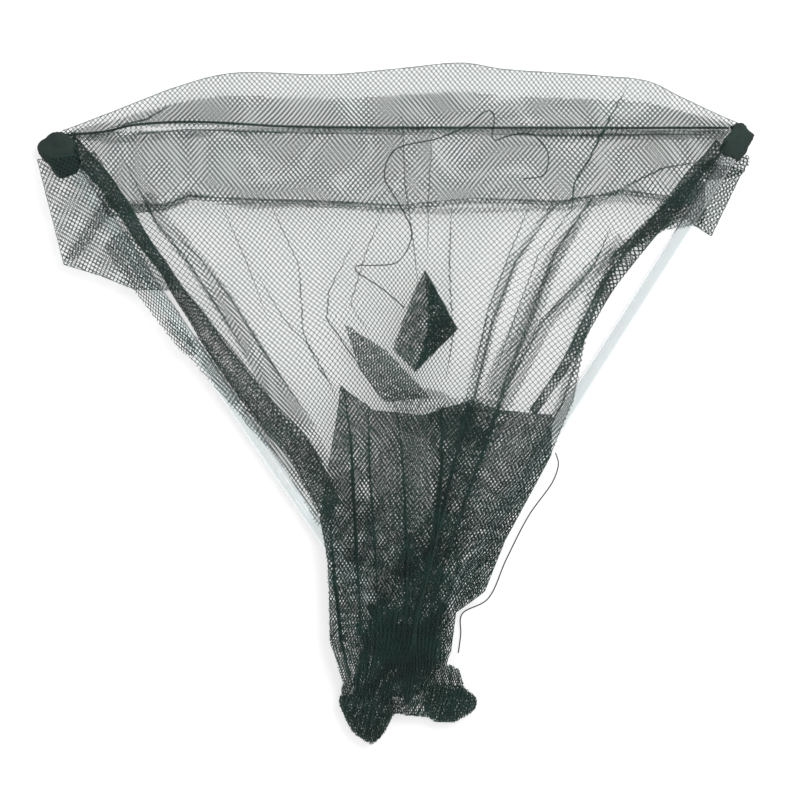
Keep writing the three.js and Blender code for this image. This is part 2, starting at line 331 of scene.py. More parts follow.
def tube_parts(route, radius, sides):
    """Places and triangles of a closed round tube along a route."""
    along = unit(np.gradient(route, axis=0))
    aside = np.cross(along, [0.0, 0.0, 1.0])
    steep = np.linalg.norm(aside, axis=1) < 0.05
    aside[steep] = np.cross(along[steep], [1.0, 0.0, 0.0])
    aside = unit(aside)
    above = np.cross(aside, along)
    turn = 2 * math.pi * np.arange(sides) / sides
    ring = aside[:, None] * np.cos(turn)[None, :, None] - above[:, None] * np.sin(turn)[None, :, None]
    places = (route[:, None] + radius * ring).reshape(-1, 3)
    places = np.vstack([places, route[0], route[-1]])
    faces = []
    count = len(route)
    for k in range(sides):
        n = (k + 1) % sides
        a = np.arange(count - 1) * sides
        faces.append(np.stack([a + k, a + sides + k, a + sides + n], 1))
        faces.append(np.stack([a + k, a + sides + n, a + n], 1))
        end = (count - 1) * sides
        faces.append(np.array([[k, n, count * sides]]))
        faces.append(np.array([[end + n, end + k, count * sides + 1]]))
    return places, np.vstack(faces)


def tube(name, route, radius, sides, material):
    places, faces = tube_parts(route, radius, sides)
    return mesh_object(name, places, faces[:, ::-1], material)


def joined(parts):
    places, faces, base = [], [], 0
    for p, f in parts:
        places.append(p)
        faces.append(f + base)
        base += len(p)
    return np.vstack(places), np.vstack(faces)


# ---------------------------------------------------------------- knitted net
PITCH = 4.2 * MM
ROW = 2.4 * MM
KNIT = 0.9 * MM
THREAD_WIDE = 0.57 * MM
# Taller than real twine of this width, so that half the threads' surface is at least 0.7 of the flat net.
THREAD_HIGH = 0.9 * MM
CELL = PITCH * ROW
STRETCHES_PER_CELL = 4
PLEAT = PITCH


def strands(width, length):
    """Flat places of the zigzag strands of a cut, centred across u and from 0 along v. Each strand
    touches its two neighbours by turns, which makes six-sided holes. An even count leaves the folds of
    the pleats between strands."""
    count = 2 * math.ceil(width / PITCH)
    periods = int(length / (2 * ROW)) + 1
    swing = PITCH / 4 - THREAD_WIDE / 2
    j = np.arange(count)
    k = np.arange(4 * periods + 2)
    aside = np.array([-swing, -swing, swing, swing])[k % 4]
    along = np.array([0, KNIT, ROW, ROW + KNIT])[k % 4] + (k // 4) * 2 * ROW
    u = (j - (count - 1) / 2)[:, None] * PITCH / 2 + aside * (1 - 2 * (j % 2))[:, None]
    v = np.broadcast_to(along, u.shape)
    return u, v


def knit_parts(places, keep):
    """Closed three-sided threads along each strand's kept stretches. places is (strand, point, 3)."""
    along = np.gradient(places, axis=1)
    along /= np.linalg.norm(along, axis=2)[..., None] + 1e-12
    aside = np.cross(along, [0.0, 0.0, 1.0])
    size = np.linalg.norm(aside, axis=2)
    aside[size < 0.05] = (1.0, 0.0, 0.0)
    aside = unit(aside)
    above = np.cross(aside, along)
    half, high = THREAD_WIDE / 2, THREAD_HIGH
    ring = np.stack(
        [
            places - aside * half - above * high / 3,
            places + aside * half - above * high / 3,
            places + above * high * 2 / 3,
        ],
        axis=2,
    )
    count, points = places.shape[:2]
    base = (np.arange(count)[:, None] * points + np.arange(points)[None, :]) * 3
    a, b = base[:, :-1][keep], base[:, 1:][keep]
    faces = []
    for k in range(3):
        n = (k + 1) % 3
        faces.append(np.stack([a + k, b + k, b + n], 1))
        faces.append(np.stack([a + k, b + n, a + n], 1))
    before = np.zeros_like(keep)
    before[:, 1:] = keep[:, :-1]
    after = np.zeros_like(keep)
    after[:, :-1] = keep[:, 1:]
    start, end = base[:, :-1][keep & ~before], base[:, 1:][keep & ~after]
    faces.append(np.stack([start, start + 1, start + 2], 1))
    faces.append(np.stack([end, end + 2, end + 1], 1))
    faces = np.vstack(faces)
    used, renumbered = np.unique(faces, return_inverse=True)
    return ring.reshape(-1, 3)[used], renumbered.reshape(faces.shape)


def middle_of(values):
    return (values[:, :-1] + values[:, 1:]) / 2


def cut_size(u, v, keep):
    """The smallest rectangle round a piece's flat cut, and its area by its count of cells."""
    flat = np.column_stack([middle_of(u)[keep], middle_of(v)[keep]])
    best = None
    for degrees in range(0, 90, 3):
        turn = math.radians(degrees)
        axes = np.array([[math.cos(turn), math.sin(turn)], [-math.sin(turn), math.cos(turn)]])
        width, length = np.ptp(flat @ axes.T, axis=0) + (PITCH / 2, ROW)
        if best is None or width * length < best[0] * best[1]:
            best = width, length
    return *best, float(keep.sum()) / STRETCHES_PER_CELL * CELL


def pleat(u, narrowed):
    """Height of pleats that take up the cloth's full width where it is drawn in to this share of it."""
    slope = np.sqrt(np.clip(1 - np.asarray(narrowed) ** 2, 0, 1))
    return slope * PLEAT * (np.abs((u / PLEAT) % 2 - 1) - 0.5)


def inside(outline, x, y):
    hit = np.zeros(x.shape, bool)
    for (x0, y0), (x1, y1) in zip(outline, np.roll(outline, -1, axis=0)):
        if y0 == y1:
            continue
        crosses = (y0 > y) != (y1 > y)
        hit ^= crosses & (x < (x1 - x0) * (y - y0) / (y1 - y0) + x0)
    return hit


def soft_step(t):
    t = np.clip(t, 0, 1)
    return t * t * (3 - 2 * t)


def tuck(places, line, depth, core, reach, lift):
    """How far to shift places so that the net doubles over itself along a line, least at its ends."""
    line = np.array(line, float)
    lengths = np.linalg.norm(np.diff(line, axis=0), axis=1)
    total = lengths.sum()
    best = np.full(places.shape[:-1], np.inf)
    signed = np.zeros_like(best)
    share = np.zeros_like(best)
    normal = np.zeros(places.shape[:-1] + (2,))
    gone = 0.0
    for a, b, length in zip(line, line[1:], lengths):
        d = (b - a) / length
        relative = places[..., :2] - a
        t = np.clip(relative @ d, 0, length)
        off = relative - t[..., None] * d
        distance = np.linalg.norm(off, axis=-1)
        n = np.array([-d[1], d[0]])
        near = distance < best
        best = np.where(near, distance, best)
        signed = np.where(near, relative @ n, signed)
        share = np.where(near, (gone + t) / total, share)
        normal[near] = n
        gone += length
    taper = np.sqrt(np.clip(np.sin(math.pi * np.clip(share, 0, 1)), 0, 1))
    close = np.exp(-0.5 * (best / reach) ** 2) * taper
    bend = np.tanh(signed / core)
    shift = np.zeros_like(places)
    shift[..., :2] = normal * (-depth * bend * close)[..., None]
    shift[..., 2] = lift * (1 - bend) / 2 * close
    return shift


def wrinkles(x, y, seed, size, height):
    """Smooth unevenness from a few fixed waves."""
    rng = np.random.default_rng(seed)
    total = np.zeros_like(x)
    for _ in range(7):
        angle, phase = rng.uniform(0, 2 * math.pi, 2)
        wave = size * rng.uniform(0.7, 1.6)
        total += np.sin(2 * math.pi * (x * math.cos(angle) + y * math.sin(angle)) / wave + phase)
    return height * total / 4


EDGE_RADIUS = 0.28 * MM


def net_piece(name, places, keep, node, body=None, rim=None):
    """A piece of knitted net with its edge twine."""
    parts = [knit_parts(places, keep)]
    for route in rim or []:
        p, f = tube_parts(route, EDGE_RADIUS, 5)
        parts.append((p, f[:, ::-1]))
    p, f = joined(parts)
    obj = mesh_object(name, p, f, NET)
    stands_for(obj, node, body)
    return obj


def gather(obj):
    """Bakes the piece's transform into its mesh."""
    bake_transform(obj)


# ---------------------------------------------------------------- ground net
CORD_POINTS = np.array([
    (-279, 229, 7.5), (-248, 232, 7.5), (-227, 237, 7.5), (-177, 240, 7.5), (-89, 236, 7.5),
    (104, 235, 7.5), (282.3, 234.9, 7.5),
]) * MM
CORD_ROUTE = smooth_route(CORD_POINTS, 4 * MM)
PANEL_Z = middle("main_panel").z
COLLAR_Z = middle("collar_band").z
TABLE_Z = 1.1 * MM


def cord_y(x):
    return np.interp(x, CORD_ROUTE[:, 0], CORD_ROUTE[:, 1])


def to_cord(outline, reach):
    """The outline with its corners near the cord moved on to it."""
    out = outline.copy()
    near = np.abs(out[:, 1] - cord_y(out[:, 0])) < reach
    out[near, 1] = cord_y(out[near, 0])
    return out


OVERHANG = to_cord(outline_of("front_overhang"), 9 * MM)
COLLAR = to_cord(outline_of("collar_band"), 14 * MM)
PANEL = outline_of("main_panel")
LOWER_BAG = outline_of("lower_bag")


def ground_height(x, y, top):
    """Net height: on the table in front of the cord, over the cord, then up over the arms."""
    behind = cord_y(x) - y
    front = TABLE_Z + (9.6 * MM - TABLE_Z) * np.exp(-((behind / (8 * MM)) ** 2))
    back = 9.6 * MM + (top - 9.6 * MM) * soft_step(behind / (20 * MM))
    return np.where(behind < 0, front, back)


LEAN = 0.364
LEAN_START = 165 * MM
LEAN_END = -35 * MM
LEAN_SOFT = 110 * MM


def fall_of(y):
    """How far a place is below the line where the net starts to draw in."""
    return np.clip(LEAN_START - y, 0, LEAN_START - LEAN_END)


def drawn_in(u, y, lean):
    """X of a strand at flat distance u from the middle: strands lean towards the hub as y falls."""
    return HUB.x + u * (1 - lean * fall_of(y) / (np.abs(u) + LEAN_SOFT))


# Creases and gathers of the ground net, as (line, depth, core, reach, lift) in millimetres.
GATHERS = [
    # left of the middle: the edges of the doubled strip beside the roll
    ([(-191, 150), (-165, 122), (-140, 88), (-114, 45), (-91, 11), (-68, -22)], 2.6, 1, 10, 1.4),
    ([(-236, 214), (-205, 154), (-179, 120), (-154, 82), (-128, 40)], 3, 1.1, 10, 1.4),
    # fine creases over the left half
    ([(-108, 170), (-84, 118), (-80, 64), (-66, 30), (-50, 10)], 2, 0.8, 10, 1.4),
    ([(-118, 110), (-96, 70), (-70, 40), (-52, 4)], 1.8, 0.8, 9, 1.4),
    ([(-36, 140), (-58, 96), (-60, 72), (-38, 40), (-14, 4)], 2.2, 0.8, 9, 1.5),
    ([(-10, 170), (-26, 130), (-40, 84), (-24, 60)], 1.4, 0.7, 8, 1.2),
    ([(-150, 170), (-128, 120), (-110, 70)], 1.2, 0.7, 9, 1.1),
    # the middle, straight down
    ([(4, 250), (6, 190), (14, 130), (18, 96)], 1.7, 0.7, 8, 1.2),
    ([(30, 236), (26, 170), (26, 120)], 1.4, 0.6, 7, 1.1),
    ([(46, 170), (44, 118), (46, 60), (40, 20)], 2, 0.8, 9, 1.4),
    # right of the middle: bundles that lean towards the bag
    ([(112, 172), (92, 130), (72, 80), (58, 20)], 3, 1.2, 12, 1.6),
    ([(133, 172), (100, 122), (80, 71), (66, 20), (52, -40)], 5, 1.9, 15, 2),
    ([(148, 170), (118, 126), (98, 76), (76, 16)], 3, 1.2, 12, 1.8),
    ([(166, 176), (134, 125), (114, 77), (90, 20), (70, -40)], 7, 2.6, 17, 2.4),
    ([(182, 150), (166, 116), (127, 68), (96, 9), (80, -30)], 6, 2.2, 14, 2.4),
    ([(206, 150), (186, 120), (160, 60), (140, 0), (118, -40)], 3.4, 1.4, 12, 2),
    # one long crease from the overhang into the collar
    ([(197, 272), (178, 238), (162, 206), (150, 188), (144, 160)], 2.4, 0.9, 10, 1.4),
    ([(262, 206), (226, 200), (196, 186), (170, 170)], 2.2, 0.9, 10, 1.2),
    ([(-248, 234), (-214, 242), (-196, 254)], 2, 0.8, 9, 0.8),
]
# Strips where the net lies doubled, in millimetres: name, node, middle line, widths along it, height
# above the node's net, and how far its cells are shifted from it.
BANDS = [
    ("left_strip", "main_panel",
     [(-214, 178), (-198, 152), (-172, 121), (-147, 85), (-121, 43), (-100, 6), (-74, -34), (-57, -70)],
     (10, 14, 17, 18, 18, 20, 20, 16), 1.2, (1.4, 0.9)),
    ("left_mass", "main_panel",
     [(-196, 70), (-166, 42), (-140, 15), (-116, -12), (-88, -44), (-70, -74), (-60, -100)],
     (5, 20, 24, 26, 26, 24, 18), 1.6, (0.6, 1.6)),
    ("left_mass_inner", "main_panel",
     [(-178, 56), (-150, 24), (-124, -6), (-96, -38), (-74, -70)],
     (5, 16, 20, 20, 16), 2.4, (1.0, 0.4)),
    ("right_strip_1", "main_panel",
     [(133, 170), (100, 122), (80, 71), (68, 26), (56, -30)],
     (4, 9, 10, 11, 12), 1.2, (1.4, 0.9)),
    ("right_strip_2", "main_panel",
     [(166, 172), (134, 125), (112, 77), (86, 20), (66, -36)],
     (6, 14, 20, 22, 20), 1.4, (0.7, 1.5)),
    ("right_strip_2_inner", "main_panel",
     [(152, 150), (124, 102), (102, 52), (82, 6)],
     (3, 8, 11, 12), 2.2, (0.3, 0.5)),
    ("right_strip_3", "main_panel",
     [(192, 140), (166, 115), (127, 68), (96, 9), (78, -34)],
     (14, 13, 10, 11, 12), 1.6, (1.7, 0.3)),
    ("right_edge_strip", "main_panel",
     [(184, 132), (168, 98), (154, 54), (143, 3), (122, -44)],
     (8, 12, 12, 13, 14), 1.3, (0.9, 1.2)),
    ("collar_hem_strip", "collar_band",
     [(-240, 166), (-198, 166), (-177, 176), (-150, 173), (-126, 168), (-57, 168), (2, 163), (70, 166),
     (138, 166), (189, 175), (240, 170)],
     (9, 11, 12, 9, 10, 8, 9, 11, 10, 11, 12), 1.4, (0.4, 0.7)),
    ("collar_left_strip", "collar_band",
     [(-276, 228), (-240, 226), (-200, 228), (-150, 231), (-96, 230)],
     (6, 11, 11, 10, 6), 1.4, (0.9, 0.4)),
    ("collar_right_strip", "collar_band",
     [(100, 229), (160, 228), (220, 228), (278, 229)],
     (6, 10, 11, 9), 1.4, (0.9, 1.1)),
]


def gathered(flat, height, lines=GATHERS, share=1.0):
    places = np.stack([flat[0], flat[1], height], axis=-1)
    total = np.zeros_like(places)
    for line, depth, core, reach, lift in lines:
        shift = tuck(places, np.array(line) * MM, depth * MM * share, core * MM, reach * MM, lift * MM)
        total += shift
    return places + total


FEWEST_STRETCHES = 40


def split_by_side(places, keep, bands):
    """Each stretch's side of the centre line and its band by distance from the hub."""
    centre = (places[:, :-1] + places[:, 1:]) / 2
    away = np.hypot(centre[..., 0] - HUB.x, centre[..., 1] - HUB.y)
    for side, sign in SIGN.items():
        on_side = keep & ((centre[..., 0] - HUB.x) * sign > 0)
        for number, (low, high) in enumerate(zip(bands, bands[1:])):
            part = on_side & (away >= low) & (away < high)
            if part.sum() > FEWEST_STRETCHES:
                yield side, number + 1, part, math.sqrt(max(low, 0.06) * high)


def cut_rim(route, side, low, high):
    """The stretches of an edge route on one side of the centre line and in one band."""
    away = np.hypot(route[:, 0] - HUB.x, route[:, 1] - HUB.y)
    return runs_where(route, ((route[:, 0] - HUB.x) * SIGN[side] > 0) & (away >= low) & (away < high))


def runs_where(route, on):
    """The stretches of a route where a test holds."""
    runs, start = [], None
    for i, flag in enumerate(on):
        if flag and start is None:
            start = i
        if start is not None and (not flag or i == len(on) - 1):
            stop = min(i + 1, len(on))
            if stop - start > 2:
                runs.append(route[start:stop])
            start = None
    return runs


def narrowing(u, y, lean):
    """The share of its flat width that the net keeps at a strand."""
    return 1 - lean * fall_of(y) * LEAN_SOFT / (np.abs(u) + LEAN_SOFT) ** 2


def lattice_over(outline, lean, phase, seed):
    """Strand places over an outline's extent, leaning towards the hub and a little uneven, as x and y."""
    low, high = outline.min(0), outline.max(0)
    half = max(abs(low[0] - HUB.x), abs(high[0] - HUB.x)) + (20 + 90 * (lean > 0)) * MM
    first = math.floor((low[1] - 6 * MM) / (2 * ROW)) * 2 * ROW
    u, v = strands(2 * half, high[1] - first + 6 * MM)
    y = first + v + phase[1] * MM
    x = drawn_in(u, y, lean) + phase[0] * MM
    across = wrinkles(x, y, seed + 50, 95 * MM, 1.5 * MM)
    along = wrinkles(x, y, seed + 51, 80 * MM, 1.5 * MM)
    return x + across, y + along, (u, v), pleat(u, narrowing(u, y, lean))


def straight_route(points, step):
    """Points along straight stretches between corners."""
    out = []
    for a, b in zip(points, points[1:]):
        count = max(2, int(np.linalg.norm(b - a) / step))
        out += [a + (b - a) * t for t in np.linspace(0, 1, count, endpoint=False)]
    out.append(points[-1])
    return np.array(out)


def rim_route(points):
    """A flat route along the straight stretches between an outline's corners."""
    return straight_route(np.column_stack([points, np.zeros(len(points))]), 2.5 * MM)


def make_layer(name, node, outline, top, lean, bands, phase=(0.0, 0.0), share=1.0,
               lines=None, rough=0.5, seed=1, rim_points=None):
    """One layer of net over an outline, in halves and bands."""
    lines = GATHERS if lines is None else lines
    x, y, cut, pleats = lattice_over(outline, lean, phase, seed)
    keep = inside(outline, middle_of(x), middle_of(y))
    height = ground_height(x, y, top) + wrinkles(x, y, seed, 60 * MM, rough * MM) + pleats
    places = gathered((x, y), np.maximum(height, 0.5 * MM), lines, share)
    rim = []
    if rim_points is not None:
        route = rim_route(rim_points)
        level = ground_height(route[:, 0], route[:, 1], top)
        level += wrinkles(route[:, 0], route[:, 1], seed, 60 * MM, rough * MM)
        rim = [gathered((route[:, 0], route[:, 1]), np.maximum(level, 0.6 * MM), lines, share)]
    for side, number, part, radius in split_by_side(places, keep, bands):
        edges = [run for r in rim for run in cut_rim(r, side, bands[number - 1], bands[number])]
        tail = f"_{number}" if len(bands) > 2 else ""
        obj = net_piece(f"{name}_{side}{tail}", places, part, node, rim=edges)
        gather(obj)


def run_of(outline, accept):
    """The longest run of an outline's corners that pass a test, in order."""
    flags = [bool(accept(p)) for p in outline]
    count = len(flags)
    best = []
    for start in range(count):
        run = []
        for i in range(count):
            if not flags[(start + i) % count]:
                break
            run.append(outline[(start + i) % count])
        if len(run) > len(best):
            best = run
    return np.array(best)


def scaled_from_cord(outline, depth):
    """The overhang's inner layer: its outer corners pulled back towards the cord."""
    out = outline.copy()
    out[:, 1] = cord_y(out[:, 0]) + (out[:, 1] - cord_y(out[:, 0])) * depth
    return out


def rounded(outline):
    """The outline with its corners rounded off."""
    loop = np.vstack([outline[-2:], outline, outline[:2]])
    starts = (loop[1:-1] * 3 + loop[:-2]) / 4
    ends = (loop[1:-1] * 3 + loop[2:]) / 4
    return np.stack([starts, (starts + ends + 2 * loop[1:-1]) / 4, ends], axis=1)[1:-1].reshape(-1, 2)


def moved(outline, changes):
    """The outline with the corner nearest to each first place moved to the second, in millimetres."""
    out = outline.copy()
    for near, to in changes:
        out[np.argmin(np.linalg.norm(outline - np.array(near) * MM, axis=1))] = np.array(to) * MM
    return out


OVERHANG = moved(OVERHANG, [((-266, 241), (-286, 232)), ((-258, 233), (-282, 228)), ((277, 244),
                 (292, 238))])
COLLAR = moved(COLLAR, [((-262, 229), (-280, 229)), ((-236, 163), (-246, 158)), ((279, 235), (286, 232))])
HEM_TUCKS = [
    ([(-250, 168), (-198, 168), (-177, 176), (-126, 173), (-57, 171), (2, 168), (62, 174)], 3, 1.1, 8, 0.8),
    ([(40, 172), (62, 174), (138, 171), (189, 180), (249, 174)], 3, 1.1, 8, 0.8),
    ([(-246, 226), (-180, 233), (-88, 230), (20, 229)], 1.8, 0.8, 7, 0.6),
    ([(60, 229), (150, 228), (270, 229)], 2.2, 0.9, 7, 0.6),
]
outer_edge = smooth_route(run_of(OVERHANG, lambda p: p[1] - cord_y(p[0]) > 1 * MM), 8 * MM)
OVERHANG = np.vstack([outer_edge, to_cord(outer_edge, 1.0)[::-1] - (0, 6 * MM)])
make_layer("front_overhang_net", "front_overhang", OVERHANG, PANEL_Z, 0, (0.4, 0.6),
           rim_points=outer_edge)
inner_overhang = scaled_from_cord(OVERHANG, 0.55)
make_layer("overhang_fold_net", "front_overhang", inner_overhang, PANEL_Z, 0, (0.4, 0.6),
           phase=(1.1, 1.0), seed=5, lines=GATHERS[-3:])
make_layer("collar_under_net", "collar_band", COLLAR, PANEL_Z, 0, (0.3, 0.6), rough=0.7)
hem_edge = run_of(COLLAR, lambda p: cord_y(p[0]) - p[1] > 40 * MM)
make_layer("collar_upper_net", "collar_band", COLLAR, COLLAR_Z, 0, (0.3, 0.6),
           phase=(1.3, 1.3), seed=7, lines=GATHERS[-4:] + HEM_TUCKS, rough=0.9, rim_points=hem_edge)
PANEL = moved(PANEL, [((-229, 158), (-240, 172)), ((-126, 163), (-126, 170)), ((2, 158), (2, 165)),
                      ((138, 161), (138, 168)), ((189, 170), (189, 177)), ((240, 165), (252, 172))])
panel_edge = run_of(PANEL, lambda p: p[0] > 100 * MM and p[1] < 150 * MM)
make_layer("main_panel_net", "main_panel", PANEL, PANEL_Z, LEAN, (0.04, 0.15, 0.24, 0.45),
           rough=0.7, rim_points=panel_edge)


def band_outline(line, widths):
    """A long outline that runs along both sides of a line at the given widths."""
    line = np.array(line, float) * MM
    along = unit(np.gradient(line, axis=0))
    aside = np.column_stack([-along[:, 1], along[:, 0]]) * (np.array(widths, float) * MM / 2)[:, None]
    return np.vstack([line + aside, (line - aside)[::-1]])


for number, (name, node, line, widths, lift, phase) in enumerate(BANDS):
    on_collar = node == "collar_band"
    base_z = COLLAR_Z if on_collar else PANEL_Z
    make_layer(f"{name}_net", node, band_outline(line, widths), base_z + lift * MM,
               0 if on_collar else LEAN, (0.04, 0.24, 0.6), phase=phase,
               seed=60 + number, rough=0.7, lines=HEM_TUCKS if on_collar else [])

# ---------------------------------------------------------------- lower bag
BAG_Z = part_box("lower_bag")[0].z
STUD_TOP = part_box("handle_stud")[1].z
STUD_Y = (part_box("handle_stud")[0].y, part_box("handle_stud")[1].y)
STUD_X = middle("handle_stud").x
FOOT_LEFT = rounded(outline_of("bag_foot_left"))
FOOT_RIGHT = rounded(outline_of("bag_foot_right"))
BAG_GATHERS = [
    ([(-46, 16), (-40, -30), (-38, -80), (-34, -140), (-30, -200)], 4.5, 1.8, 12, 2),
    ([(-24, 0), (-22, -60), (-18, -120), (-16, -190)], 3.4, 1.4, 10, 1.8),
    ([(0, -4), (4, -60), (4, -130), (0, -200)], 3.4, 1.4, 10, 1.8),
    ([(36, 0), (34, -50), (26, -110), (14, -170), (8, -220)], 7.5, 2.8, 16, 2.6),
    ([(60, 2), (52, -44), (40, -100), (26, -160), (16, -214)], 7.5, 2.8, 16, 2.6),
    ([(86, -6), (72, -50), (54, -110), (36, -170)], 4, 1.6, 12, 2),
    ([(-58, -100), (-54, -150), (-48, -200), (-38, -240)], 4, 1.4, 10, 1.6),
]
FOOT_MIDDLE = {side: middle(f"bag_foot_{side}") for side in SIGN}
LEFT_LOW, LEFT_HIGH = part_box("bag_foot_left")
RIGHT_LOW, RIGHT_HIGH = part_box("bag_foot_right")
# the net that joins the two feet, over the handle stud
BRIDGE = np.array([
    (LEFT_LOW.x + 4 * MM, LEFT_HIGH.y + 16 * MM), (RIGHT_HIGH.x - 18 * MM, RIGHT_HIGH.y + 20 * MM),
    (RIGHT_HIGH.x - 10 * MM, RIGHT_HIGH.y - 6 * MM),
    (FOOT_MIDDLE["right"].x - 6 * MM, RIGHT_LOW.y + 3 * MM), (STUD_X, STUD_Y[0] - 8 * MM),
    (LEFT_HIGH.x + 1 * MM, STUD_Y[0] - 6 * MM), (FOOT_MIDDLE["left"].x + 6 * MM, LEFT_LOW.y + 12 * MM),
    (LEFT_LOW.x + 8 * MM, FOOT_MIDDLE["left"].y),
])
DARK_CORE = np.array([
    (20, -6), (66, 2), (80, -50), (66, -112), (47, -167), (42, -214), (20, -246), (-6, -252),
    (-40, -250), (-26, -190), (0, -133), (24, -80),
]) * MM
DARK_ROOT = np.array([
    (-6, -118), (40, -110), (44, -160), (38, -214), (14, -246), (-14, -250), (-38, -246), (-30, -200),
    (-14, -160),
]) * MM
DARK_MIDDLE = np.array([
    (34, -10), (78, -4), (84, -44), (58, -92), (36, -150), (10, -190), (-16, -200), (-14, -150),
    (14, -100), (34, -56),
]) * MM
DARK_LOWER = np.array([
    (-66, -80), (-30, -84), (10, -66), (46, -84), (62, -118), (44, -160), (40, -200), (-20, -216),
    (-50, -196), (-62, -140),
]) * MM
FLAP_BASE = rounded(np.array([(-11, 7), (19, 14), (45, 8), (42, -14), (-4, -14)]) * MM)
DARK_MOUTH = np.array([(-4, -12), (28, 4), (62, 6), (88, 2), (86, -24), (44, -34), (4, -24)]) * MM
LEFT_FOLD = np.array([
    (-49, 16), (-36, 2), (-40, -60), (-36, -120), (-40, -180), (-58, -180), (-62, -133), (-66, -99),
    (-58, -40),
]) * MM


def stud_cover(x, y):
    """Height of net where it is propped up by the handle stud."""
    across = np.exp(-(((x - HUB.x) / (12 * MM)) ** 4))
    front = soft_step((y - STUD_Y[0] + 12 * MM) / (10 * MM))
    return (STUD_TOP + 1.6 * MM) * across * front


BAG_TILT = 0.16
BAG_HALF_WIDTH = 60 * MM
TAIL_START = -214 * MM
TAIL_LENGTH = 44 * MM
TAIL_DROOP = 9 * MM


def bag_middle(y):
    """X of the bag's middle line, which leans to the right towards its mouth."""
    return HUB.x + BAG_TILT * (y - HUB.y)


def bag_height(x, y, level):
    """The bag's top is humped along its middle and its tail sinks over the stud."""
    across = np.abs(x - bag_middle(y)) / BAG_HALF_WIDTH
    hump = np.exp(-(across**2))
    tail = soft_step((TAIL_START - y) / TAIL_LENGTH)
    height = BAG_Z + level * (0.35 + 0.65 * hump) - TAIL_DROOP * tail
    return np.maximum(height, stud_cover(x, y) + 0.2 * level)


def bag_pieces(name, places, keep, rim):
    """The bag's two halves."""
    centre = (places[:, :-1, 0] + places[:, 1:, 0]) / 2 - HUB.x
    for side, sign in SIGN.items():
        part = keep & (centre * sign > 0)
        if part.sum() < FEWEST_STRETCHES:
            continue
        edges = [piece for run in rim for piece in runs_where(run, (run[:, 0] - HUB.x) * sign > 0)]
        obj = net_piece(f"{name}_{side}", places, part, "lower_bag", rim=edges)
        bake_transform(obj)


DRAWN_FROM = -230 * MM
DRAWN_OVER = 390 * MM


def bag_layer(name, outlines, level, base, phase, seed, share, rim_points=None):
    """One layer of the bag over several outlines, drawn together towards the hub."""
    low = np.min([o.min(0) for o in outlines], axis=0)
    high = np.max([o.max(0) for o in outlines], axis=0)
    u, v = strands((high[0] - low[0]) / base + 60 * MM, high[1] - low[1])
    y = low[1] + v + phase[1] * MM
    drawn = base + (1 - base) * soft_step((y - DRAWN_FROM) / DRAWN_OVER)
    x = bag_middle(y) + (u + phase[0] * MM) * drawn
    x = x + wrinkles(x, y, seed + 50, 60 * MM, 2 * MM)
    y = y + wrinkles(x, y, seed + 51, 60 * MM, 2 * MM)
    keep = np.any([inside(o, middle_of(x), middle_of(y)) for o in outlines], axis=0)
    height = bag_height(x, y, level) + wrinkles(x, y, seed, 34 * MM, 1.0 * MM) + pleat(u, drawn)
    places = gathered((x, y), height, BAG_GATHERS, share)
    rim = []
    if rim_points is not None:
        route = rim_route(rim_points)
        level_z = bag_height(route[:, 0], route[:, 1], level)
        level_z += wrinkles(route[:, 0], route[:, 1], seed, 34 * MM, 1.0 * MM)
        rim = [gathered((route[:, 0], route[:, 1]), level_z, BAG_GATHERS, share)]
    bag_pieces(name, places, keep, rim)


BRIDGE = rounded(BRIDGE)
WHOLE_BAG = [LOWER_BAG, BRIDGE, FOOT_LEFT, FOOT_RIGHT]
bag_edge = run_of(LOWER_BAG, lambda p: p[1] > -220 * MM)
bag_layer("bag_under_net", WHOLE_BAG, 1 * MM, 0.6, (0.0, 0.0), 11, 0.7)
bag_layer("bag_top_net", WHOLE_BAG, 7 * MM, 0.42, (1.5, 0.4), 17, 1.0, rim_points=bag_edge)
bag_layer("bag_inner_net", WHOLE_BAG, 4 * MM, 0.42, (0.8, 1.2), 13, 1.0)
bag_layer("bag_core_net", [rounded(DARK_CORE)], 4 * MM, 0.28, (0.4, 1.7), 19, 1.0)
bag_layer("bag_root_net", [rounded(DARK_ROOT)], 9 * MM, 0.32, (0.9, 0.7), 23, 1.0)
bag_layer("bag_left_fold_net", [rounded(LEFT_FOLD)], 3 * MM, 0.42, (0.2, 0.3), 29, 1.0)
bag_layer("bag_middle_fold_net", [rounded(DARK_MIDDLE)], 5 * MM, 0.42, (0.7, 1.1), 37, 1.0)
bag_layer("bag_lower_fold_net", [rounded(DARK_LOWER)], 6 * MM, 0.42, (1.3, 0.6), 43, 1.0)
bag_layer("bag_mouth_fold_net", [rounded(DARK_MOUTH), FLAP_BASE], 8 * MM, 0.5, (0.1, 1.4), 47, 1.0)


